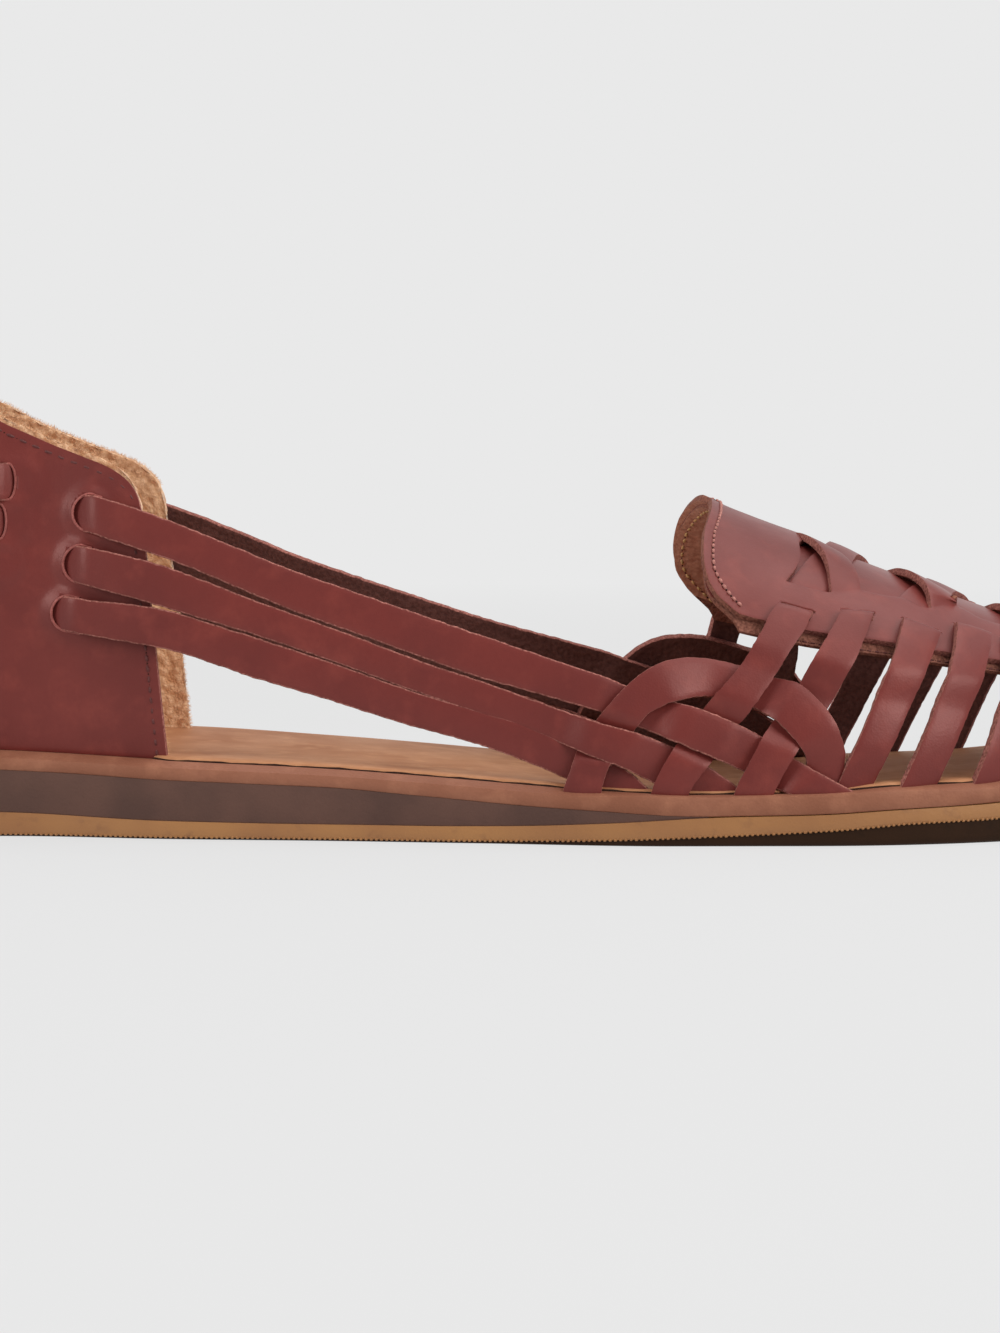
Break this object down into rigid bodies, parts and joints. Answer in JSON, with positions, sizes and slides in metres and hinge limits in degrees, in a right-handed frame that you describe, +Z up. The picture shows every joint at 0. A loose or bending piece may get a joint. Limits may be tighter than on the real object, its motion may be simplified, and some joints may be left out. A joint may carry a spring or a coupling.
{
  "type": "woven leather huarache flat shoe",
  "caption": "Open woven leather flat for a right foot, with a closed heel counter, side straps woven at the ball, a strapped vamp apron and a layered gum sole.",
  "frame": {"origin": "middle of the footprint's box, on the plane the sole stands on", "axes": "+X from heel to toe, +Y to the inner (medial) side, +Z up"},
  "size_m": [0.255, 0.089, 0.084],
  "materials": {
    "upper_leather": "smooth red brown, soft sheen",
    "lining_suede": "nubby tan suede",
    "insole_leather": "plain tan, matte",
    "rim_leather": "pinkish brown, matte",
    "wedge_foam": "dark brown, matte",
    "gum_rubber": "gum, satin",
    "thread": "waxed sewing thread"
  },
  "bodies": {
    "root": {"outsole": "gum_rubber", "midsole_wedge": "wedge_foam", "midsole_leather": "rim_leather", "insole": "insole_leather", "heel_counter": "upper_leather", "upper": "upper_leather"}
  },
  "joints": []
}
